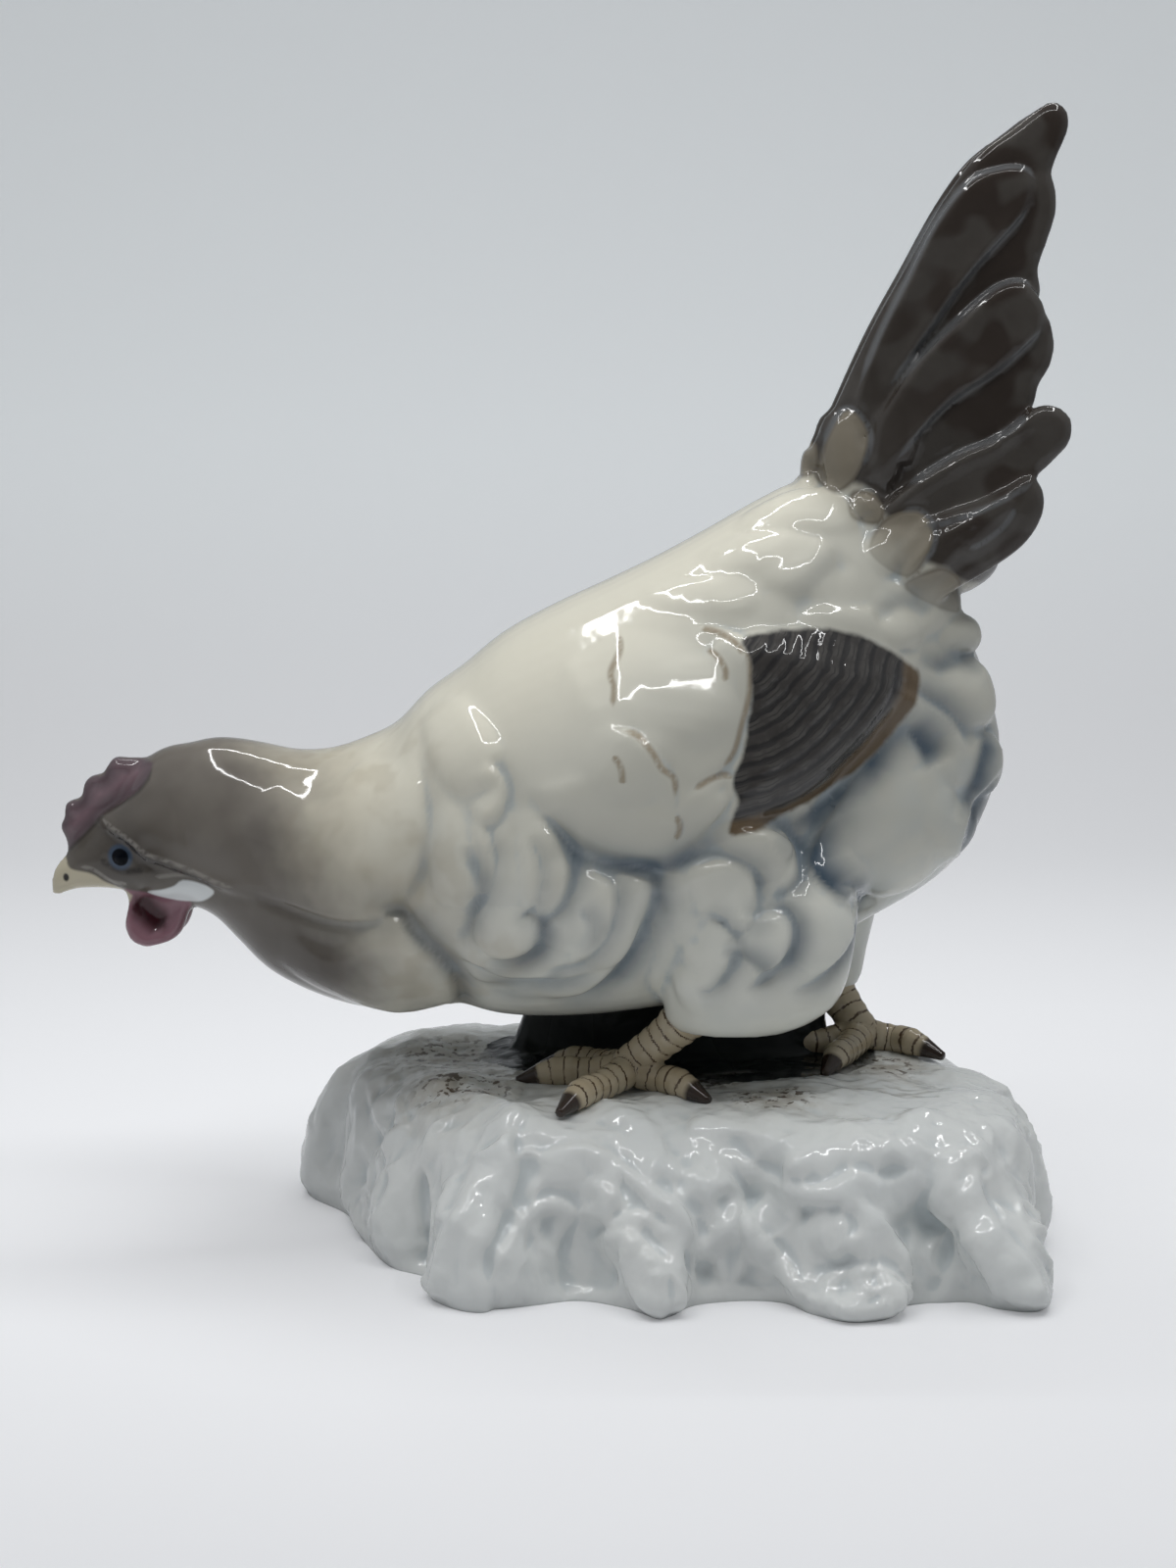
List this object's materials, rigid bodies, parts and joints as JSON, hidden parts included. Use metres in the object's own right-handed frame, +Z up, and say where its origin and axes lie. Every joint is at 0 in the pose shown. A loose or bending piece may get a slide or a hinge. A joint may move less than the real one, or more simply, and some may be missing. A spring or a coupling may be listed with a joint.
{
  "type": "hen figurine",
  "caption": "Glazed porcelain hen bending to peck, tail raised, fused to a flowing rock base with a flat underside; ornament.",
  "frame": {"origin": "centre of the bounding box at the flat underside of the rock, on the table", "axes": "+Z up, the hen faces -X, its left side faces -Y, its middle plane is near Y = 0"},
  "size_m": [0.1995, 0.1238, 0.2195],
  "materials": {
    "glazed_porcelain": "glossy clear glaze over white porcelain, underglaze grey-brown head, wing and tail, pale blue pooled in the hollows, bluish white rock"
  },
  "bodies": {
    "root": {"hen_figurine": "glazed_porcelain"}
  },
  "joints": []
}
